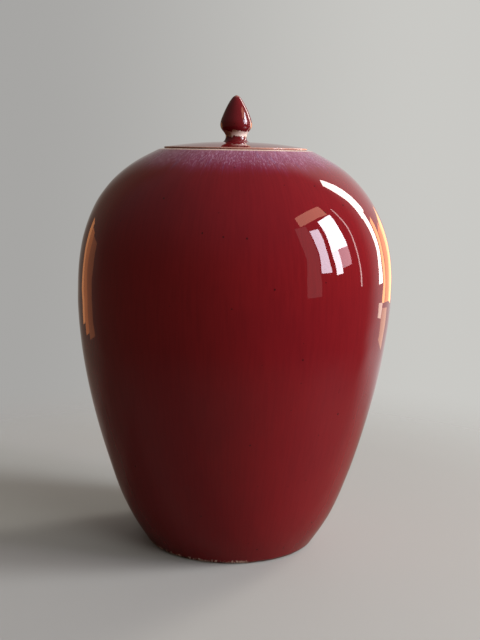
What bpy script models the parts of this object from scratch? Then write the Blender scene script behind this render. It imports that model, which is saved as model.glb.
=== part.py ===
"""A lidded porcelain ginger jar with a lotus-bud knob, modelled as its potted pieces.

The jar is thrown as one hollow body and set on a foot ring that is left bare for the kiln shelf.
The lid is a low domed plate with a knob on top and a bare locating ring below, which hangs in the
mouth. Every piece is turned about the Z axis. The foot stands on z = 0.
"""

import math

import bpy
import numpy as np

MM = 0.001

# Jar
BODY_HEIGHT = 210.5 * MM
BELLY_RADIUS = 83.2 * MM
BELLY_HEIGHT = 138.0 * MM
FOOT_RADIUS = 45.8 * MM
FOOT_EDGE_HEIGHT = 0.6 * MM
LIP_RADIUS = 41.0 * MM
LIP_ROUNDING = 0.9 * MM
WALL = 4.0 * MM
MOUTH_RADIUS = 32.6 * MM
MOUTH_ROUNDING = 1.2 * MM
NECK_DEPTH = 7.0 * MM
BASE_TOP = 11.5 * MM
BASE_BOTTOM = 5.5 * MM
FLOOR_CORNER = 5.0 * MM

# Foot ring
FOOT_RING_OUTER = 44.8 * MM
FOOT_RING_INNER = 38.0 * MM
FOOT_RING_CHAMFER = 0.8 * MM

# Lid
LID_PLATE_RADIUS = 37.6 * MM
LID_EDGE_THICKNESS = 1.0 * MM
LID_DOME_RISE = 2.6 * MM
LID_DOME_RINGS = 6
LID_RING_OUTER = 31.4 * MM
LID_RING_WALL = 3.0 * MM
LID_RING_DEPTH = 8.5 * MM

# Knob
KNOB_HEIGHT = 23.6 * MM
KNOB_FOOT_RADIUS = 6.5 * MM
KNOB_WAIST_RADIUS = 5.5 * MM
KNOB_WAIST_HEIGHT = 2.7 * MM
KNOB_BUD_RADIUS = 8.3 * MM

# Gap left in each luted joint and under the loose lid
JOINT_GAP = 0.3 * MM

TURN_STEPS = 48
KNOB_STEPS = 32
SEAM_MERGE = 0.02 * MM
PIVOT_SIZE = 20.0 * MM

# Heights that follow from the sizes above
LID_UNDERSIDE = BODY_HEIGHT + JOINT_GAP
LID_TOP = LID_UNDERSIDE + LID_EDGE_THICKNESS + LID_DOME_RISE
KNOB_FOOT = LID_TOP + JOINT_GAP


def clear_scene():
    for old in list(bpy.data.objects):
        bpy.data.objects.remove(old, do_unlink=True)


def new_collection(name):
    group = bpy.data.collections.new(name)
    bpy.context.scene.collection.children.link(group)
    return group


def new_material(name, colour, roughness, coat=0.0):
    material = bpy.data.materials.new(name)
    material.use_nodes = True
    shader = material.node_tree.nodes["Principled BSDF"]
    shader.inputs["Base Color"].default_value = (*colour, 1.0)
    shader.inputs["Roughness"].default_value = roughness
    shader.inputs["Metallic"].default_value = 0.0
    shader.inputs["Coat Weight"].default_value = coat
    return material


def arc(centre_x, centre_z, radius, start_deg, end_deg, segments):
    """Points of an arc in the profile plane, ends included."""
    points = []
    for step in range(segments + 1):
        angle = math.radians(start_deg + (end_deg - start_deg) * step / segments)
        points.append((centre_x + radius * math.cos(angle), centre_z + radius * math.sin(angle)))
    return points


def smooth_through(stations, per_span):
    """Points of the natural cubic spline through the stations, ends included."""
    knots = np.array(stations)
    spans = np.linalg.norm(np.diff(knots, axis=0), axis=1)
    slopes = np.diff(knots, axis=0) / spans[:, None]
    system = np.eye(len(knots))
    change = np.zeros_like(knots)
    for i in range(1, len(knots) - 1):
        system[i, i - 1 : i + 2] = (spans[i - 1], 2 * (spans[i - 1] + spans[i]), spans[i])
        change[i] = 6 * (slopes[i] - slopes[i - 1])
    bend = np.linalg.solve(system, change)
    points = [tuple(knots[0])]
    for i, span in enumerate(spans):
        for step in range(1, per_span + 1):
            after = step / per_span
            before = 1 - after
            pull = (before**3 - before) * bend[i] + (after**3 - after) * bend[i + 1]
            points.append(tuple(before * knots[i] + after * knots[i + 1] + pull * span**2 / 6))
    return points


def offset_inwards(points, distance):
    """A downward-running outline moved towards the axis, for a wall of even thickness."""
    moved = []
    for index, (x, z) in enumerate(points):
        before = points[max(index - 1, 0)]
        after = points[min(index + 1, len(points) - 1)]
        run = math.dist(before, after)
        normal = ((after[1] - before[1]) / run, (before[0] - after[0]) / run)
        moved.append((x + normal[0] * distance, z + normal[1] * distance))
    return moved


def turned(name, profile, closed, steps, material, group, parent):
    """A solid turned about Z. The profile lies at +X and runs down its outer side."""
    edges = [(i, i + 1) for i in range(len(profile) - 1)]
    if closed:
        edges.append((len(profile) - 1, 0))
    mesh = bpy.data.meshes.new(name)
    mesh.from_pydata([(x, 0.0, z - parent.location.z) for x, z in profile], edges, [])
    mesh.materials.append(material)
    piece = bpy.data.objects.new(name, mesh)
    piece.parent = parent
    group.objects.link(piece)
    screw = piece.modifiers.new("Turn", "SCREW")
    screw.axis = "Z"
    screw.steps = steps
    screw.render_steps = steps
    screw.use_smooth_shade = True
    screw.use_merge_vertices = True
    screw.merge_threshold = SEAM_MERGE
    return piece


def new_pivot(name, height, group):
    pivot = bpy.data.objects.new(name, None)
    pivot.empty_display_size = PIVOT_SIZE
    pivot.location.z = height
    group.objects.link(pivot)
    return pivot


def jar_outline(per_span):
    """The thrown outline, from the edge of the lip down over the shoulder and belly to the foot."""
    stations = [
        (LIP_RADIUS, BODY_HEIGHT - LIP_ROUNDING),
        (55.6 * MM, 201.5 * MM),
        (70.7 * MM, 186.0 * MM),
        (80.0 * MM, 165.0 * MM),
        (BELLY_RADIUS, BELLY_HEIGHT),
        (80.6 * MM, 105.0 * MM),
        (73.5 * MM, 70.0 * MM),
        (64.1 * MM, 38.0 * MM),
        (53.6 * MM, 13.0 * MM),
        (FOOT_RADIUS, FOOT_EDGE_HEIGHT),
    ]
    return smooth_through(stations, per_span)


def make_jar_body(group, parent, material):
    """The hollow vessel: outer skin, lip, neck, inner skin and base, with a recess below the base."""
    outer = jar_outline(per_span=4)
    lip = arc(LIP_RADIUS - LIP_ROUNDING, BODY_HEIGHT - LIP_ROUNDING, LIP_ROUNDING, 90, 0, 3)
    neck_bottom = BODY_HEIGHT - NECK_DEPTH
    inner = [
        point
        for point in offset_inwards(jar_outline(per_span=3), WALL)
        if BASE_TOP + WALL / 2 < point[1] < neck_bottom and point[0] > MOUTH_RADIUS + WALL
    ]
    foot_seat = FOOT_RING_OUTER + JOINT_GAP
    profile = [
        (0.0, BASE_TOP),
        (inner[-1][0] - FLOOR_CORNER, BASE_TOP),
        *reversed(inner),
        (MOUTH_RADIUS, neck_bottom),
        (MOUTH_RADIUS, BODY_HEIGHT - MOUTH_ROUNDING),
        (MOUTH_RADIUS + MOUTH_ROUNDING, BODY_HEIGHT),
        *lip[:-1],
        *outer,
        (foot_seat, FOOT_EDGE_HEIGHT),
        (foot_seat, BASE_BOTTOM),
        (0.0, BASE_BOTTOM),
    ]
    return turned("jar_body", profile, False, TURN_STEPS, material, group, parent)


def make_foot_ring(group, parent, material):
    """The bare ring that the jar stands on, luted under the base inside the glazed wall."""
    top = BASE_BOTTOM - JOINT_GAP
    profile = [
        (FOOT_RING_OUTER, top),
        (FOOT_RING_OUTER, FOOT_RING_CHAMFER),
        (FOOT_RING_OUTER - FOOT_RING_CHAMFER, 0.0),
        (FOOT_RING_INNER + FOOT_RING_CHAMFER, 0.0),
        (FOOT_RING_INNER, FOOT_RING_CHAMFER),
        (FOOT_RING_INNER - FOOT_RING_CHAMFER, top),
    ]
    return turned("foot_ring", profile, True, TURN_STEPS, material, group, parent)


def make_lid_plate(group, parent, material):
    """The glazed plate, thin and rounded at its edge and domed on top, resting on the lip."""
    half = LID_EDGE_THICKNESS / 2
    edge_radius = LID_PLATE_RADIUS - half
    edge = arc(edge_radius, LID_UNDERSIDE + half, half, 90, -90, 6)
    dome = []
    for ring in range(1, LID_DOME_RINGS):
        share = ring / LID_DOME_RINGS
        dome.append((edge_radius * share, LID_TOP - LID_DOME_RISE * share**2))
    seat = (KNOB_FOOT_RADIUS, LID_TOP)
    dome = [seat, *(point for point in dome if point[0] > KNOB_FOOT_RADIUS)]
    profile = [(0.0, LID_TOP), *dome, *edge, (0.0, LID_UNDERSIDE)]
    return turned("lid_plate", profile, False, TURN_STEPS, material, group, parent)


def make_lid_locating_ring(group, parent, material):
    """The bare ring under the plate, which keeps the lid central in the mouth."""
    top = LID_UNDERSIDE - JOINT_GAP
    bottom = top - LID_RING_DEPTH
    rounding = LID_RING_WALL / 2
    middle = LID_RING_OUTER - rounding
    profile = [
        (LID_RING_OUTER, top),
        *arc(middle, bottom + rounding, rounding, 0, -180, 6),
        (LID_RING_OUTER - LID_RING_WALL, top),
    ]
    return turned("lid_locating_ring", profile, True, TURN_STEPS, material, group, parent)


def make_lid_knob(group, parent, material):
    """The lotus-bud knob: a pointed bud on a drawn-in waist, with a small rounded foot."""
    bud = [
        (0.9 * MM, KNOB_HEIGHT - 0.35 * MM),
        (3.2 * MM, 21.2 * MM),
        (5.6 * MM, 17.0 * MM),
        (7.3 * MM, 12.8 * MM),
        (KNOB_BUD_RADIUS, 9.0 * MM),
        (8.1 * MM, 7.0 * MM),
        (7.1 * MM, 5.3 * MM),
        (5.9 * MM, 3.7 * MM),
        (KNOB_WAIST_RADIUS, KNOB_WAIST_HEIGHT),
        (5.6 * MM, 1.7 * MM),
        (KNOB_FOOT_RADIUS, 0.6 * MM),
    ]
    outline = [(0.0, KNOB_HEIGHT), *smooth_through(bud, 2), (KNOB_FOOT_RADIUS, 0.0), (0.0, 0.0)]
    profile = [(x, KNOB_FOOT + z) for x, z in outline]
    return turned("lid_knob", profile, False, KNOB_STEPS, material, group, parent)


def main():
    clear_scene()
    group = new_collection("ginger_jar")
    jar_pivot = new_pivot("jar_pivot", 0.0, group)
    lid_pivot = new_pivot("lid_pivot", LID_UNDERSIDE, group)
    oxblood_glaze = new_material("oxblood_glaze", (0.19, 0.012, 0.016), 0.10, coat=1.0)
    bare_body = new_material("bare_body", (0.62, 0.47, 0.36), 0.75)
    make_jar_body(group, jar_pivot, oxblood_glaze)
    make_foot_ring(group, jar_pivot, bare_body)
    make_lid_plate(group, lid_pivot, oxblood_glaze)
    make_lid_locating_ring(group, lid_pivot, bare_body)
    make_lid_knob(group, lid_pivot, oxblood_glaze)


main()
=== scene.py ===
"""The looks of a lidded ginger jar: deep red glaze with a streaked purple band under the lip."""

import math

import bpy
import numpy as np
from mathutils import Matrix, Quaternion, Vector


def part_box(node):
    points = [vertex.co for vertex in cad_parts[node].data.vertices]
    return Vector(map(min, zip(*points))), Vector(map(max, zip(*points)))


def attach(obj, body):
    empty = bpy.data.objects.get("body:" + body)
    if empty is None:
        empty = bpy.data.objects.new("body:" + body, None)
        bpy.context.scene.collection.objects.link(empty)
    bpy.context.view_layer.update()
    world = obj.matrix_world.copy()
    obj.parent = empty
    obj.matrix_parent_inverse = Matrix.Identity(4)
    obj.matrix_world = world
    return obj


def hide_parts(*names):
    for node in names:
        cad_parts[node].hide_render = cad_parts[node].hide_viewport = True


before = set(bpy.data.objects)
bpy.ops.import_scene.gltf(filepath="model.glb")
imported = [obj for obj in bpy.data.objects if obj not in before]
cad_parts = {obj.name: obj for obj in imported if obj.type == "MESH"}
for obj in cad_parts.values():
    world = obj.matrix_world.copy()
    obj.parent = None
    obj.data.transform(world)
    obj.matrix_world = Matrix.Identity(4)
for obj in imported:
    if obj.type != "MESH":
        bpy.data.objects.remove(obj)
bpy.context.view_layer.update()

MM = 0.001

# Heights and radii that the CAD nodes give
LIP_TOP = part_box("jar_body")[1].z
BELLY_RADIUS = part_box("jar_body")[1].x
FOOT_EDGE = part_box("jar_body")[0].z
RING_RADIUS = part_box("foot_ring")[1].x
RING_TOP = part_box("foot_ring")[1].z
PLATE_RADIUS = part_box("lid_plate")[1].x
PLATE_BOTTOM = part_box("lid_plate")[0].z
PLATE_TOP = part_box("lid_plate")[1].z
LOCATOR_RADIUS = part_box("lid_locating_ring")[1].x
LOCATOR_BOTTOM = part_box("lid_locating_ring")[0].z
KNOB_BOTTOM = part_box("lid_knob")[0].z
KNOB_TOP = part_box("lid_knob")[1].z

# Sizes of the jar's section that its box doesn't give. The two drops are where the flat lip rounds
# into the shoulder, and the cavity bends from its wall to its floor over the last two
LIP_FLAT_RADIUS = 38.0 * MM
MOUTH_RADIUS = 32.6 * MM
MOUTH_ROUNDING = 1.2 * MM
NECK_DEPTH = 7.0 * MM
WALL = 4.0 * MM
FLOOR_TOP = 11.5 * MM
BASE_UNDERSIDE = 5.5 * MM
FOOT_SEAT_RADIUS = 45.1 * MM
FOOT_RADIUS = 45.8 * MM
LIP_EDGE_DROP = 0.22 * MM
SHOULDER_START_DROP = 0.85 * MM
CAVITY_BEND = 4.5 * MM
CAVITY_REACH = 12.0 * MM

# The foot ring, the lid's edge and underside, the locating ring and the knob's foot in the plate
RING_WIDTH = 6.8 * MM
RING_OUTER_EDGE = 0.9 * MM
RING_INNER_EDGE = 0.8 * MM
PLATE_EDGE_HEIGHT = 0.65 * MM
SEAT = LIP_TOP + 0.06 * MM
LOCATOR_WALL = 3.0 * MM
LOCATOR_TOP = LIP_TOP + 0.1 * MM
KNOB_SUNK = 0.15 * MM

# The thrown belly sits a little to one side of the axis
BELLY_SHIFT = 0.8 * MM
BELLY_SHIFT_HEIGHT = 150.0 * MM
BELLY_SHIFT_REACH = 30.0 * MM

BODY_SEGMENTS = 320
KNOB_SEGMENTS = 160
FEWEST_PER_SPAN = 4


# ---------------------------------------------------------------- turned meshes


def spline(stations, step):
    """Points about one step apart on the natural cubic spline through the stations."""
    knots = np.array(stations, float)
    spans = np.linalg.norm(np.diff(knots, axis=0), axis=1)
    slopes = np.diff(knots, axis=0) / spans[:, None]
    system = np.eye(len(knots))
    change = np.zeros_like(knots)
    for i in range(1, len(knots) - 1):
        system[i, i - 1 : i + 2] = (spans[i - 1], 2 * (spans[i - 1] + spans[i]), spans[i])
        change[i] = 6 * (slopes[i] - slopes[i - 1])
    bend = np.linalg.solve(system, change)
    points = [knots[0]]
    for i, span in enumerate(spans):
        count = max(FEWEST_PER_SPAN, round(span / step))
        for after in np.arange(1, count + 1) / count:
            before = 1 - after
            pull = (before**3 - before) * bend[i] + (after**3 - after) * bend[i + 1]
            points.append(before * knots[i] + after * knots[i + 1] + pull * span**2 / 6)
    return np.array(points)


def arc(centre, radius, start_deg, end_deg, count):
    angles = np.radians(np.linspace(start_deg, end_deg, count + 1))
    return np.array(centre) + radius * np.stack([np.cos(angles), np.sin(angles)], axis=1)


def straight(start, end, step):
    count = max(1, round(math.dist(start, end) / step))
    shares = np.linspace(0, 1, count + 1)[:, None]
    return np.array(start) * (1 - shares) + np.array(end) * shares


def joined(*stretches):
    """One outline from several stretches, without doubled points where they meet."""
    points = [np.array(stretches[0][0], float)]
    for stretch in stretches:
        for point in stretch:
            if math.dist(point, points[-1]) > 0.01 * MM:
                points.append(np.array(point, float))
    return np.array(points)


def inside_of(outline, wall):
    """The outline moved towards the axis by the wall's thickness."""
    run = np.gradient(outline, axis=0)
    normals = np.stack([run[:, 1], -run[:, 0]], axis=1)
    return outline + normals / np.linalg.norm(normals, axis=1)[:, None] * wall


class Unevenness:
    """A smooth random relief, the same at every run: the marks of throwing and glaze flow."""

    def __init__(self, seed, height, waves, least_turns, most_turns, longest, shortest):
        chance = np.random.default_rng(seed)
        self.turns = chance.integers(least_turns, most_turns + 1, waves)
        self.along = 2 * math.pi / chance.uniform(shortest, longest, waves)
        self.along *= chance.choice([-1.0, 1.0], waves)
        self.phase = chance.uniform(0, 2 * math.pi, waves)
        self.height = height * math.sqrt(2 / waves)

    def at(self, angle, along):
        total = np.zeros(np.broadcast(angle, along).shape)
        for turns, pitch, phase in zip(self.turns, self.along, self.phase):
            total += np.cos(turns * angle + pitch * along + phase)
        return total * self.height


def turned(name, outline, segments, body, node, materials, reliefs=(), zones=None, lean=None):
    """A mesh turned about Z that rides on a body for a node. The outline runs down its outer side.

    zones picks the material between two points of the outline, and lean shifts each height along X.
    """
    run = np.gradient(outline, axis=0)
    normals = np.stack([-run[:, 1], run[:, 0]], axis=1)
    normals /= np.maximum(np.linalg.norm(normals, axis=1), 1e-12)[:, None]
    along = np.concatenate([[0], np.cumsum(np.linalg.norm(np.diff(outline, axis=0), axis=1))])
    angle = np.linspace(0, 2 * math.pi, segments, endpoint=False)[None, :]
    lift = np.zeros((len(outline), segments))
    for relief in reliefs:
        lift += relief.at(angle, along[:, None])
    radius = outline[:, 0:1]
    lift *= np.clip(radius / (2 * MM), 0, 1)
    radius = radius + normals[:, 0:1] * lift
    height = outline[:, 1:2] + normals[:, 1:2] * lift
    across = radius * np.cos(angle) + (0 if lean is None else lean(height))
    vertices = np.stack([across, radius * np.sin(angle), height + 0 * angle], axis=2).reshape(-1, 3)
    on_axis = outline[:, 0] < 0.001 * MM
    index = np.arange(len(outline))[:, None] * segments + np.arange(segments)[None, :]
    index[on_axis] = index[on_axis][:, :1]
    after = np.roll(index, -1, axis=1)
    faces, slots = [], []
    for row in range(len(outline) - 1):
        for column in range(segments):
            a, b = index[row, column], after[row, column]
            c, d = after[row + 1, column], index[row + 1, column]
            corners = [a, d, c, b]
            if on_axis[row]:
                corners = [a, d, c]
            if on_axis[row + 1]:
                corners = [a, d, b]
            faces.append([int(corner) for corner in corners])
        slots += [0 if zones is None else zones(outline[row], outline[row + 1])] * segments
    mesh = bpy.data.meshes.new(name)
    used = sorted({corner for face in faces for corner in face})
    renumbered = {old: new for new, old in enumerate(used)}
    mesh.from_pydata(
        vertices[used].tolist(), [], [[renumbered[corner] for corner in face] for face in faces]
    )
    for material in materials:
        mesh.materials.append(material)
    mesh.polygons.foreach_set("material_index", slots)
    mesh.shade_smooth()
    piece = bpy.data.objects.new(name, mesh)
    bpy.context.scene.collection.objects.link(piece)
    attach(piece, body)
    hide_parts(node)
    return piece


# ---------------------------------------------------------------- materials


class Shading:
    """Short ways to add nodes to a material. An input is a number, a colour or a node's output."""

    def __init__(self, name):
        self.material = bpy.data.materials.new(name)
        self.material.use_nodes = True
        self.tree = self.material.node_tree
        self.shader = self.tree.nodes["Principled BSDF"]
        self.position = self.add("ShaderNodeTexCoord").outputs["Object"]
        parts = self.add("ShaderNodeSeparateXYZ", Vector=self.position)
        self.x, self.y, self.z = (parts.outputs[axis] for axis in "XYZ")
        squares = self.math(
            "ADD", self.math("MULTIPLY", self.x, self.x), self.math("MULTIPLY", self.y, self.y)
        )
        self.radius = self.math("MAXIMUM", self.math("SQRT", squares), 0.1 * MM)

    def plug(self, socket, value):
        if isinstance(value, bpy.types.NodeSocket):
            self.tree.links.new(value, socket)
        elif isinstance(value, tuple) and len(value) == 3 and socket.type == "RGBA":
            socket.default_value = (*value, 1.0)
        else:
            socket.default_value = value

    def add(self, kind, settings=None, **inputs):
        node = self.tree.nodes.new(kind)
        for key, value in (settings or {}).items():
            setattr(node, key, value)
        for key, value in inputs.items():
            self.plug(node.inputs[key.replace("_", " ")], value)
        return node

    def math(self, operation, *values, clamp=False):
        node = self.add("ShaderNodeMath", {"operation": operation, "use_clamp": clamp})
        for socket, value in zip(node.inputs, values):
            self.plug(socket, value)
        return node.outputs[0]

    def vector(self, x, y, z):
        return self.add("ShaderNodeCombineXYZ", X=x, Y=y, Z=z).outputs[0]

    def flow(self, around, along):
        """Coordinates that follow the wall: around per radian of turn, along per metre."""
        scale = self.math("DIVIDE", around, self.radius)
        return self.vector(
            self.math("MULTIPLY", self.x, scale),
            self.math("MULTIPLY", self.y, scale),
            self.math("MULTIPLY", self.z, along),
        )

    def noise(self, coordinates, scale=1.0, detail=2.0, roughness=0.5, distortion=0.0):
        return self.add(
            "ShaderNodeTexNoise",
            Vector=coordinates,
            Scale=scale,
            Detail=detail,
            Roughness=roughness,
            Distortion=distortion,
        ).outputs["Fac"]

    def ramp(self, value, low, high, start=0.0, end=1.0):
        """start below low, end above high, and smooth in between."""
        node = self.add("ShaderNodeMapRange", {"interpolation_type": "SMOOTHSTEP"}, Value=value)
        limits = {"From Min": low, "From Max": high, "To Min": start, "To Max": end}
        for key, number in limits.items():
            self.plug(node.inputs[key], number)
        return node.outputs["Result"]

    def mix(self, share, first, second, blend="MIX"):
        node = self.add("ShaderNodeMix", {"data_type": "RGBA", "blend_type": blend})
        self.plug(node.inputs["Factor"], share)
        self.plug(node.inputs[6], first)
        self.plug(node.inputs[7], second)
        return node.outputs[2]

    def specks(self, cells_per_metre, size, seed_shift):
        """1 inside scattered round specks, 0 elsewhere. size is a share of the cell."""
        moved = self.add("ShaderNodeVectorMath", {"operation": "ADD"})
        self.plug(moved.inputs[0], self.position)
        moved.inputs[1].default_value = (seed_shift, seed_shift, seed_shift)
        cells = self.add("ShaderNodeTexVoronoi", Vector=moved.outputs[0], Scale=cells_per_metre)
        distance = cells.outputs["Distance"]
        chosen = self.add("ShaderNodeSeparateColor", Color=cells.outputs["Color"]).outputs["Red"]
        reach = self.math("MULTIPLY", self.ramp(chosen, 0.55, 1.0), size)
        return self.ramp(self.math("SUBTRACT", distance, reach), -0.03, 0.0, 1.0, 0.0)

    def finish(self, colour, roughness, bump=None, bump_distance=0.0):
        self.shader.inputs["IOR"].default_value = GLAZE_IOR
        self.plug(self.shader.inputs["Base Color"], colour)
        self.plug(self.shader.inputs["Roughness"], roughness)
        if bump is not None:
            node = self.add("ShaderNodeBump", Height=bump, Strength=1.0, Distance=bump_distance)
            self.plug(self.shader.inputs["Normal"], node.outputs[0])
        return self.material


OXBLOOD = (0.160, 0.0056, 0.0092)
WARM_OXBLOOD = (0.176, 0.0064, 0.0094)
RUN_SHADE = (0.88, 0.84, 0.90)
KNOB_SHADE = (0.74, 1.25, 1.05)
PINHOLE = (0.012, 0.002, 0.003)
PURPLE = (0.200, 0.029, 0.086)
LAVENDER = (0.540, 0.310, 0.440)
ROSE = (0.300, 0.095, 0.145)
BLUE_VIOLET = (0.130, 0.055, 0.160)
CREAM = (0.660, 0.480, 0.380)
PALE_CREAM_AND_LIT = (0.740, 0.620, 0.530)
TOASTED_AND_SHADED = (0.300, 0.170, 0.095)
SALMON = (0.420, 0.190, 0.140)
BISCUIT = (0.560, 0.420, 0.310)
PALE_GLAZE = (0.560, 0.560, 0.500)
GLAZE_ROUGHNESS = 0.02
GLAZE_IOR = 1.42
GLAZE_WAVE = 0.016 * MM
BAND_BOTTOM = LIP_TOP - 12.5 * MM
BAND_TOP = LIP_TOP - 1.5 * MM
CHIP_HEIGHT = 2.8 * MM


def glaze_skin(s):
    """The slight waviness that the glaze set with, for the bump."""
    return s.noise(s.position, scale=110.0, detail=1.0)


def red_glaze(s):
    """The copper-red glaze: faint clouds, fine runs down the wall and scattered dark pinholes."""
    clouds = s.noise(s.position, scale=14.0, detail=2.0, roughness=0.5)
    runs = s.noise(s.flow(around=70.0, along=60.0), detail=3.0, roughness=0.65)
    colour = s.mix(s.ramp(clouds, 0.36, 0.66), OXBLOOD, WARM_OXBLOOD)
    colour = s.mix(s.ramp(runs, 0.35, 0.70), colour, s.mix(1.0, colour, RUN_SHADE, "MULTIPLY"))
    pinholes = s.math("MAXIMUM", s.specks(210.0, 0.12, 0.0), s.specks(85.0, 0.055, 3.7))
    return s.mix(s.math("MULTIPLY", pinholes, 0.8), colour, PINHOLE)


def body_glaze():
    """The red glaze with its streaked purple band, the lip's thin cream line and foot chips."""
    s = Shading("oxblood_glaze")
    colour = red_glaze(s)
    slow = s.math("SUBTRACT", s.noise(s.flow(around=9.0, along=20.0), detail=2.0), 0.5)
    quick = s.noise(s.flow(around=75.0, along=120.0), detail=3.0, roughness=0.7)
    quick = s.math("SUBTRACT", quick, 0.5)
    reach = s.math("ADD", s.z, s.math("MULTIPLY", slow, 5 * MM))
    reach = s.math("ADD", reach, s.math("MULTIPLY", quick, 9 * MM))
    band = s.ramp(reach, BAND_BOTTOM, BAND_TOP)
    patches = s.noise(s.flow(around=22.0, along=120.0), detail=2.0)
    colour = s.mix(band, colour, s.mix(s.ramp(patches, 0.58, 0.76), PURPLE, BLUE_VIOLET))
    colour = s.mix(s.ramp(reach, LIP_TOP - 3.5 * MM, LIP_TOP - 0.3 * MM, 0.0, 0.55), colour, ROSE)
    pale_dashes = s.noise(s.flow(around=165.0, along=900.0), detail=2.0, roughness=0.6)
    pale_dashes = s.math("MULTIPLY", s.ramp(pale_dashes, 0.53, 0.63), s.ramp(band, 0.15, 0.90))
    colour = s.mix(s.math("MULTIPLY", pale_dashes, 0.56), colour, LAVENDER)
    dark_dashes = s.noise(s.flow(around=140.0, along=620.0), detail=1.0)
    dark_dashes = s.math("MULTIPLY", s.ramp(dark_dashes, 0.56, 0.68), band)
    colour = s.mix(s.math("MULTIPLY", dark_dashes, 0.55), colour, OXBLOOD)
    lip_noise = s.noise(s.flow(around=60.0, along=0.0), detail=3.0, roughness=0.6)
    lip_start = s.math("ADD", s.z, s.math("MULTIPLY", s.math("SUBTRACT", lip_noise, 0.5), 0.6 * MM))
    thin = s.ramp(lip_start, LIP_TOP - 0.76 * MM, LIP_TOP - 0.42 * MM)
    colour = s.mix(thin, colour, s.mix(s.ramp(lip_noise, 0.50, 0.75), CREAM, SALMON))
    chip_noise = s.noise(s.flow(around=34.0, along=260.0), detail=4.0, roughness=0.7)
    chip_height = s.math("MULTIPLY", s.ramp(chip_noise, 0.42, 0.62), CHIP_HEIGHT)
    chip_height = s.math("ADD", FOOT_EDGE - 0.9 * MM, chip_height)
    chips = s.ramp(s.math("SUBTRACT", s.z, chip_height), -0.12 * MM, 0.12 * MM, 1.0, 0.0)
    chips = s.math("MULTIPLY", chips, s.ramp(s.x, 6.0 * MM, 14.0 * MM, 1.0, 0.0))
    colour = s.mix(chips, colour, CREAM)
    roughness = s.math("ADD", s.math("MULTIPLY", chips, 0.5), GLAZE_ROUGHNESS)
    return s.finish(colour, roughness, glaze_skin(s), GLAZE_WAVE)


def inner_glaze():
    s = Shading("pale_inner_glaze")
    clouds = s.noise(s.position, scale=40.0, detail=3.0)
    rings = s.noise(s.flow(around=6.0, along=900.0), detail=2.0)
    colour = s.mix(s.ramp(clouds, 0.35, 0.65), PALE_GLAZE, (0.47, 0.46, 0.39))
    colour = s.mix(s.math("MULTIPLY", s.ramp(rings, 0.45, 0.7), 0.3), colour, (0.36, 0.34, 0.28))
    specks = s.specks(240.0, 0.10, 1.3)
    colour = s.mix(s.math("MULTIPLY", specks, 0.7), colour, (0.10, 0.06, 0.04))
    return s.finish(colour, 0.12, s.noise(s.position, scale=300.0, detail=1.0), 0.01 * MM)


def biscuit():
    s = Shading("bare_body")
    grain = s.noise(s.position, scale=1800.0, detail=3.0, roughness=0.6)
    stain = s.noise(s.position, scale=90.0, detail=3.0)
    colour = s.mix(s.ramp(stain, 0.40, 0.68), BISCUIT, (0.36, 0.21, 0.13))
    colour = s.mix(s.math("MULTIPLY", s.ramp(grain, 0.5, 0.75), 0.35), colour, (0.22, 0.15, 0.10))
    specks = s.specks(380.0, 0.16, 2.1)
    colour = s.mix(s.math("MULTIPLY", specks, 0.6), colour, (0.09, 0.05, 0.03))
    return s.finish(colour, s.ramp(grain, 0.3, 0.7, 0.66, 0.85), grain, 0.05 * MM)


def plate_glaze():
    """Red glaze thinning to salmon and cream at the lid's edge, and dark red at its joint as
    painted shade.
    """
    s = Shading("lid_plate_glaze")
    colour = red_glaze(s)
    wobble = s.noise(s.flow(around=40.0, along=0.0), detail=3.0, roughness=0.6)
    reach = s.math("ADD", s.radius, s.math("MULTIPLY", s.math("SUBTRACT", wobble, 0.5), 2.0 * MM))
    edge = s.ramp(reach, PLATE_RADIUS - 1.7 * MM, PLATE_RADIUS - 0.2 * MM, 0.0, 0.85)
    colour = s.mix(edge, colour, SALMON)
    rim = s.ramp(reach, PLATE_RADIUS - 0.7 * MM, PLATE_RADIUS + 0.1 * MM)
    colour = s.mix(s.math("MULTIPLY", rim, 0.25), colour, CREAM)
    # Painted shade: the lowest part of the edge goes back to the dark red, to darken the gap on the
    # lip
    painted_gap_shade = s.ramp(s.z, LIP_TOP + 0.20 * MM, LIP_TOP + 0.45 * MM, 1.0, 0.0)
    colour = s.mix(s.math("MULTIPLY", painted_gap_shade, 0.8), colour, OXBLOOD)
    return s.finish(colour, GLAZE_ROUGHNESS, glaze_skin(s), GLAZE_WAVE)


def knob_glaze():
    """The red glaze with a salmon tip, and a bare pitted waist band painted shaded at -X, lit at
    +X.
    """
    s = Shading("lid_knob_glaze")
    colour = s.mix(1.0, red_glaze(s), KNOB_SHADE, "MULTIPLY")
    wave = s.noise(s.flow(around=3.0, along=60.0), detail=3.0, roughness=0.65)
    height = s.math("ADD", s.z, s.math("MULTIPLY", s.math("SUBTRACT", wave, 0.5), 4.6 * MM))
    above = s.ramp(height, KNOB_BOTTOM + 2.4 * MM, KNOB_BOTTOM + 2.7 * MM)
    below = s.ramp(height, KNOB_BOTTOM + 5.0 * MM, KNOB_BOTTOM + 5.3 * MM, 1.0, 0.0)
    bare = s.math("MULTIPLY", above, below)
    # The bare band's colour: random toasting, plus painted shade towards -X and painted light
    # towards +X
    tan = s.noise(s.position, scale=190.0, detail=3.0, roughness=0.6)
    tan = s.math("SUBTRACT", tan, s.math("MULTIPLY", s.x, 28.0))
    colour = s.mix(bare, colour, s.mix(s.ramp(tan, 0.44, 0.66), PALE_CREAM_AND_LIT, TOASTED_AND_SHADED))
    holes = s.math("MULTIPLY", s.specks(520.0, 0.34, 0.9), bare)
    colour = s.mix(holes, colour, (0.02, 0.008, 0.006))
    tip = s.ramp(s.z, KNOB_TOP - 1.6 * MM, KNOB_TOP - 0.2 * MM)
    colour = s.mix(s.math("MULTIPLY", tip, 0.6), colour, SALMON)
    roughness = s.math("ADD", s.math("MULTIPLY", bare, 0.12), GLAZE_ROUGHNESS)
    return s.finish(colour, roughness, glaze_skin(s), GLAZE_WAVE)


# ---------------------------------------------------------------- pieces


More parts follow.
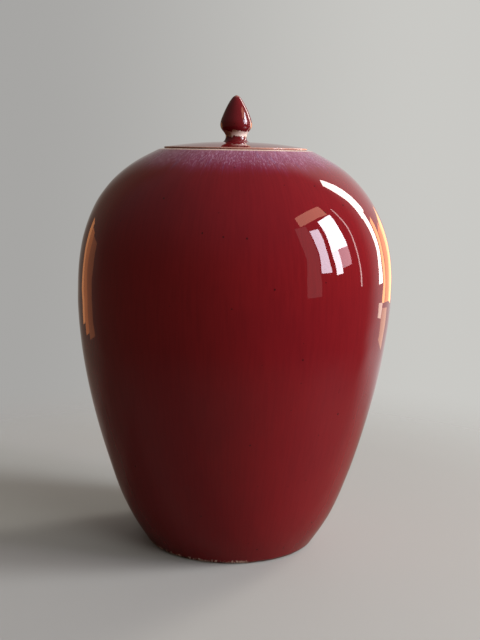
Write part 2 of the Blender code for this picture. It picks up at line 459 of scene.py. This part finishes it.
def jar_outline():
    """The thrown outline from the lip's edge over the shoulder and belly to the foot."""
    stations = [
        (LIP_FLAT_RADIUS, LIP_TOP),
        (39.7 * MM, LIP_TOP - LIP_EDGE_DROP),
        (41.2 * MM, LIP_TOP - SHOULDER_START_DROP),
        (55.6 * MM, 201.5 * MM),
        (70.7 * MM, 186.0 * MM),
        (80.0 * MM, 165.0 * MM),
        (BELLY_RADIUS, 138.0 * MM),
        (80.6 * MM, 105.0 * MM),
        (73.5 * MM, 70.0 * MM),
        (64.1 * MM, 38.0 * MM),
        (53.6 * MM, 13.0 * MM),
        (FOOT_RADIUS, FOOT_EDGE),
    ]
    return spline(stations, 1.5 * MM)


def make_jar_body(glaze, inner):
    outer = jar_outline()
    neck_bottom = LIP_TOP - NECK_DEPTH
    wall = inside_of(outer, WALL)
    wall = wall[(wall[:, 1] > FLOOR_TOP + 4 * MM) & (wall[:, 0] > MOUTH_RADIUS + 3 * MM)]
    wall = wall[wall[:, 1] < neck_bottom]
    cavity = spline(
        [
            (MOUTH_RADIUS, neck_bottom + 1 * MM),
            (MOUTH_RADIUS + 1.2 * MM, neck_bottom - 1.5 * MM),
            *wall[2:-2:6],
            wall[-1],
            (wall[-1][0] - CAVITY_BEND, FLOOR_TOP + 0.6 * MM),
            (wall[-1][0] - CAVITY_REACH, FLOOR_TOP),
        ],
        2.5 * MM,
    )
    mouth_corner = (MOUTH_RADIUS + MOUTH_ROUNDING, LIP_TOP - MOUTH_ROUNDING)
    outline = joined(
        straight((0, FLOOR_TOP), cavity[-1], 4 * MM),
        cavity[::-1],
        straight(cavity[0], (MOUTH_RADIUS, mouth_corner[1]), 1.5 * MM),
        arc(mouth_corner, MOUTH_ROUNDING, 180, 90, 6),
        straight((mouth_corner[0], LIP_TOP), (LIP_FLAT_RADIUS, LIP_TOP), 1 * MM),
        outer,
        straight(outer[-1], (FOOT_SEAT_RADIUS, FOOT_EDGE), 0.3 * MM),
        straight((FOOT_SEAT_RADIUS, FOOT_EDGE), (FOOT_SEAT_RADIUS, BASE_UNDERSIDE), 1.5 * MM),
        straight((FOOT_SEAT_RADIUS, BASE_UNDERSIDE), (0, BASE_UNDERSIDE), 4 * MM),
    )

    def zone(upper, lower):
        """1, the pale glaze, on the inside and the underside, and 0, the red glaze, elsewhere."""
        middle = (np.array(upper) + np.array(lower)) / 2
        under = middle[0] < FOOT_SEAT_RADIUS + 0.01 * MM and middle[1] < BASE_UNDERSIDE + 0.01 * MM
        inside = middle[1] < mouth_corner[1] and middle[0] < np.interp(
            middle[1], outer[::-1, 1], outer[::-1, 0]
        ) - WALL / 2
        return 1 if under or inside else 0

    def lean(height):
        return BELLY_SHIFT * np.exp(-(((height - BELLY_SHIFT_HEIGHT) / BELLY_SHIFT_REACH) ** 2))

    throwing = Unevenness(3, 0.05 * MM, 24, 1, 4, 110 * MM, 40 * MM)
    glaze_flow = Unevenness(5, 0.018 * MM, 60, 2, 30, 40 * MM, 11 * MM)
    return turned(
        "jar_vessel", outline, BODY_SEGMENTS, "jar", "jar_body",
        [glaze, inner], (throwing, glaze_flow), zone, lean,
    )


def make_foot_ring(bare):
    outer, inner = RING_RADIUS - RING_OUTER_EDGE, RING_RADIUS - RING_WIDTH
    top_inner = (inner - RING_INNER_EDGE, RING_TOP)
    outline = joined(
        straight(top_inner, (RING_RADIUS, RING_TOP), 1.5 * MM),
        straight((RING_RADIUS, RING_TOP), (RING_RADIUS, RING_OUTER_EDGE), 1 * MM),
        arc((outer, RING_OUTER_EDGE), RING_OUTER_EDGE, 0, -90, 5),
        straight((outer, 0), (inner + RING_INNER_EDGE, 0), 0.8 * MM),
        arc((inner + RING_INNER_EDGE, RING_INNER_EDGE), RING_INNER_EDGE, -90, -180, 5),
        straight((inner, RING_INNER_EDGE), top_inner, 1 * MM),
    )
    wear = Unevenness(11, 0.03 * MM, 30, 4, 40, 12 * MM, 4 * MM)
    return turned(
        "foot_ring_turned", outline, BODY_SEGMENTS, "jar", "foot_ring",
        [bare], (wear,),
    )


def make_lid_plate(glaze, bare):
    edge_top = PLATE_BOTTOM + PLATE_EDGE_HEIGHT
    half = (edge_top - SEAT) / 2
    rise = PLATE_TOP - edge_top
    edge_radius = PLATE_RADIUS - half
    radii = np.linspace(0, edge_radius, 40)
    dome = np.stack([radii, PLATE_TOP - rise * (radii / edge_radius) ** 2], axis=1)
    outline = joined(
        dome,
        arc((edge_radius, SEAT + half), half, 80, -90, 8),
        straight((edge_radius, SEAT), (0, SEAT), 3 * MM),
    )
    throwing = Unevenness(17, 0.03 * MM, 18, 1, 4, 50 * MM, 20 * MM)
    return turned(
        "lid_plate_turned", outline, BODY_SEGMENTS, "lid", "lid_plate",
        [glaze, bare], (throwing,), lambda a, b: int(max(a[1], b[1]) < SEAT + 0.02 * MM),
    )


def make_locating_ring(bare):
    inner, round_end = LOCATOR_RADIUS - LOCATOR_WALL, LOCATOR_WALL / 2
    foot = LOCATOR_BOTTOM + round_end
    outline = joined(
        straight((inner, LOCATOR_TOP), (LOCATOR_RADIUS, LOCATOR_TOP), 1 * MM),
        straight((LOCATOR_RADIUS, LOCATOR_TOP), (LOCATOR_RADIUS, foot), 1 * MM),
        arc((LOCATOR_RADIUS - round_end, foot), round_end, 0, -180, 12),
        straight((inner, foot), (inner, LOCATOR_TOP), 1 * MM),
    )
    throwing = Unevenness(23, 0.05 * MM, 24, 1, 9, 14 * MM, 5 * MM)
    return turned(
        "lid_locating_ring_turned", outline, BODY_SEGMENTS, "lid", "lid_locating_ring",
        [bare], (throwing,),
    )


def make_knob(glaze):
    """The lotus bud on its waist. Its foot runs a little into the plate's dome."""
    height = KNOB_TOP - KNOB_BOTTOM
    stations = [
        (0.0, height),
        (1.1 * MM, height - 0.45 * MM),
        (3.0 * MM, 21.2 * MM),
        (5.4 * MM, 17.0 * MM),
        (7.2 * MM, 12.8 * MM),
        (8.3 * MM, 9.0 * MM),
        (8.1 * MM, 7.0 * MM),
        (7.1 * MM, 5.3 * MM),
        (5.9 * MM, 3.7 * MM),
        (5.5 * MM, 2.7 * MM),
        (5.6 * MM, 1.4 * MM),
        (6.1 * MM, 0.3 * MM),
        (7.0 * MM, PLATE_TOP - KNOB_BOTTOM - KNOB_SUNK),
    ]
    profile = spline(stations, 0.3 * MM)
    profile[:, 1] += KNOB_BOTTOM
    outline = joined(profile, straight(profile[-1], (0, profile[-1][1]), 1 * MM))
    throwing = Unevenness(31, 0.04 * MM, 20, 1, 3, 30 * MM, 10 * MM)
    return turned(
        "lid_knob_bud", outline, KNOB_SEGMENTS, "lid", "lid_knob",
        [glaze], (throwing,),
    )


# ---------------------------------------------------------------- stage, light and camera

CAMERA_DISTANCE = 0.5445
CAMERA_HEIGHT = 0.210
CAMERA_PITCH_DEG = 9.41
CAMERA_YAW_DEG = 0.39
CAMERA_ROLL_DEG = 0.97
CAMERA_LENS = 57.6

FLOOR_RADIUS = 0.7
FLOOR_FADE_START = 0.16
FLOOR_FADE_END = 0.40
FLOOR_COLOUR = (0.415, 0.425, 0.395)
FLOOR_AS_REFLECTED = (0.22, 0.18, 0.15)
STUDIO_RADIUS = 3.0
LIGHT_LEVEL_HEIGHT = 0.15
FILL_DISTANCE = 2.0
FILL_TURN_DEG = -50
FILL_RISE = 0.45
FILL_WATTS = 13.5

# Light panels as the jar sees them: turns from +X and rises above the belly in degrees, radiance.
# At the right a pair like window panes with its surround, then a tall strip and warm strips behind
PANELS = {
    "window_narrow": ((-27, -19), (6, 32), (15.96, 15.69, 18.62)),
    "window_wide": ((-15, 1), (17, 36), (26.0, 27.5, 29.5)),
    "window_wide_low": ((-15, -9), (4, 17.3), (24.0, 24.0, 26.0)),
    "window_wide_dim": ((-9, 1), (7, 17.3), (8.0, 5.6, 6.4)),
    "window_head": ((-33, -1), (37.5, 45), (5.85, 3.06, 2.13)),
    "window_side": ((-39, -28), (-4, 36), (0.73, 0.61, 0.61)),
    "window_reveal": ((9.0, 10.3), (-3, 38), (7.98, 6.65, 6.65)),
    "tall_strip_low": ((35, 40.5), (-5, 20), (13.0, 11.6, 10.6)),
    "tall_strip_high": ((34, 43), (19, 45), (15.0, 14.0, 13.2)),
    "warm_right_inner": ((42, 47), (-9, 14), (5.59, 2.66, 0.93)),
    "warm_right_middle": ((48, 56), (-9, 8), (2.53, 0.82, 0.13)),
    "warm_right_outer": ((57, 68), (-9, 6), (3.72, 1.6, 0.47)),
    "pale_right_low": ((36, 43), (-12, -9), (3.4, 2.8, 2.2)),
    "warm_right_low": ((44, 56), (-15, -10), (1.3, 0.80, 0.45)),
    "warm_left_outer": ((127, 132), (-12, 8), (1.30, 0.46, 0.15)),
    "warm_left_middle": ((132.5, 139), (-14, 7), (0.90, 0.26, 0.07)),
    "warm_left_inner": ((139, 148), (-15, 6), (0.50, 0.15, 0.05)),
}


def make_camera():
    data = bpy.data.cameras.new("camera")
    data.sensor_width = 36.0
    data.lens = CAMERA_LENS
    data.clip_start = 0.01
    camera = bpy.data.objects.new("camera", data)
    pitch, yaw = math.radians(CAMERA_PITCH_DEG), math.radians(CAMERA_YAW_DEG)
    level = math.cos(pitch)
    forward = Vector((math.sin(yaw) * level, math.cos(yaw) * level, -math.sin(pitch)))
    roll = Quaternion((0, 0, 1), math.radians(CAMERA_ROLL_DEG))
    camera.location = (0, -CAMERA_DISTANCE, CAMERA_HEIGHT)
    camera.rotation_mode = "QUATERNION"
    camera.rotation_quaternion = forward.to_track_quat("-Z", "Y") @ roll
    bpy.context.scene.collection.objects.link(camera)
    bpy.context.scene.camera = camera


def make_floor():
    """A pale floor that fades into the backdrop, so that no edge shows.

    All rays but the camera's see it darker, so that it doesn't grey the glaze.
    """
    bpy.ops.mesh.primitive_circle_add(vertices=96, radius=FLOOR_RADIUS, fill_type="TRIFAN")
    floor = bpy.context.object
    floor.name = "floor"
    s = Shading("floor")
    seen = s.add("ShaderNodeLightPath").outputs["Is Camera Ray"]
    s.finish(s.mix(seen, FLOOR_AS_REFLECTED, FLOOR_COLOUR), 0.6)
    s.shader.inputs["Specular IOR Level"].default_value = 0.1
    clear = s.add("ShaderNodeBsdfTransparent")
    fade = s.ramp(s.radius, FLOOR_FADE_START, FLOOR_FADE_END)
    blend = s.add("ShaderNodeMixShader")
    s.plug(blend.inputs[0], fade)
    s.plug(blend.inputs[1], s.shader.outputs[0])
    s.plug(blend.inputs[2], clear.outputs[0])
    s.plug(s.tree.nodes["Material Output"].inputs["Surface"], blend.outputs[0])
    floor.data.materials.append(s.material)


def make_world():
    """A pale backdrop for the camera. The glaze mirrors a dim room and a pale wall behind."""
    world = bpy.data.worlds.new("studio")
    bpy.context.scene.world = world
    world.use_nodes = True
    tree = world.node_tree
    tree.nodes.clear()
    output = tree.nodes.new("ShaderNodeOutputWorld")
    background = tree.nodes.new("ShaderNodeBackground")
    tree.links.new(background.outputs[0], output.inputs["Surface"])
    direction = tree.nodes.new("ShaderNodeSeparateXYZ")
    tree.links.new(tree.nodes.new("ShaderNodeTexCoord").outputs["Generated"], direction.inputs[0])

    def gradient(axis, low, high, first, second):
        node = tree.nodes.new("ShaderNodeMapRange")
        node.data_type = "FLOAT_VECTOR"
        node.interpolation_type = "SMOOTHSTEP"
        tree.links.new(direction.outputs[axis], node.inputs["Vector"])
        for key, value in {7: (low,) * 3, 8: (high,) * 3, 9: first, 10: second}.items():
            node.inputs[key].default_value = value
        return node.outputs["Vector"]

    def choose(share, first, second):
        node = tree.nodes.new("ShaderNodeMix")
        node.data_type = "RGBA"
        tree.links.new(share, node.inputs["Factor"])
        tree.links.new(first, node.inputs[6])
        tree.links.new(second, node.inputs[7])
        return node.outputs[2]

    room = gradient("Z", 0.05, 0.90, (0.130, 0.092, 0.070), (0.22, 0.195, 0.195))
    wall = gradient("X", -0.55, 0.45, (0.17, 0.135, 0.105), (0.74, 0.735, 0.725))
    behind = gradient("Y", 0.30, 0.60, (0, 0, 0), (1, 1, 1))
    # Painted shade and light: the backdrop that the camera sees is darker towards -X, lighter
    # towards +X
    backdrop = gradient("X", -0.22, 0.20, (0.385, 0.380, 0.370), (0.590, 0.585, 0.560))
    seen = tree.nodes.new("ShaderNodeLightPath").outputs["Is Camera Ray"]
    tree.links.new(choose(seen, choose(behind, room, wall), backdrop), background.inputs["Color"])


def place_light(name, data, away, location):
    """A light that faces back along the direction away, and that the camera doesn't see."""
    light = bpy.data.objects.new(name, data)
    light.location = location
    light.rotation_mode = "QUATERNION"
    light.rotation_quaternion = away.to_track_quat("Z", "Y")
    light.visible_camera = False
    bpy.context.scene.collection.objects.link(light)
    return light


def direction_at(turn_deg, rise=0.0):
    """Away from the axis at a turn from +X, rising by that much for each unit outwards."""
    turn = math.radians(turn_deg)
    return Vector((math.cos(turn), math.sin(turn), rise))


def make_panel(name, turn_deg, rise_deg, radiance):
    """A standing light panel between two turns and two rises, as the jar sees it."""
    low, high = (STUDIO_RADIUS * math.tan(math.radians(rise)) for rise in rise_deg)
    width = 2 * STUDIO_RADIUS * math.tan(math.radians(turn_deg[1] - turn_deg[0]) / 2)
    away = direction_at(sum(turn_deg) / 2)
    data = bpy.data.lights.new(name, "AREA")
    data.shape = "RECTANGLE"
    data.size = width
    data.size_y = high - low
    data.energy = math.pi * width * (high - low) * max(radiance)
    data.color = tuple(part / max(radiance) for part in radiance)
    middle_height = LIGHT_LEVEL_HEIGHT + (low + high) / 2
    place_light(name, data, away, away * STUDIO_RADIUS + Vector((0, 0, middle_height)))


def make_fill():
    """A broad soft light from the front right that the glaze doesn't mirror."""
    data = bpy.data.lights.new("fill", "AREA")
    data.shape = "DISK"
    data.size = 1.0
    data.energy = FILL_WATTS
    away = direction_at(FILL_TURN_DEG, FILL_RISE)
    place_light("fill", data, away, away * FILL_DISTANCE).visible_glossy = False


def make_lights():
    for name, (turn_deg, rise_deg, radiance) in PANELS.items():
        make_panel(name, turn_deg, rise_deg, radiance)
    make_fill()


def main():
    make_camera()
    make_world()
    make_floor()
    make_lights()
    glaze, inner, bare = body_glaze(), inner_glaze(), biscuit()
    make_jar_body(glaze, inner)
    make_foot_ring(bare)
    make_lid_plate(plate_glaze(), bare)
    make_locating_ring(bare)
    make_knob(knob_glaze())
    bpy.context.scene.view_settings.view_transform = "Standard"
    bpy.context.view_layer.update()


main()
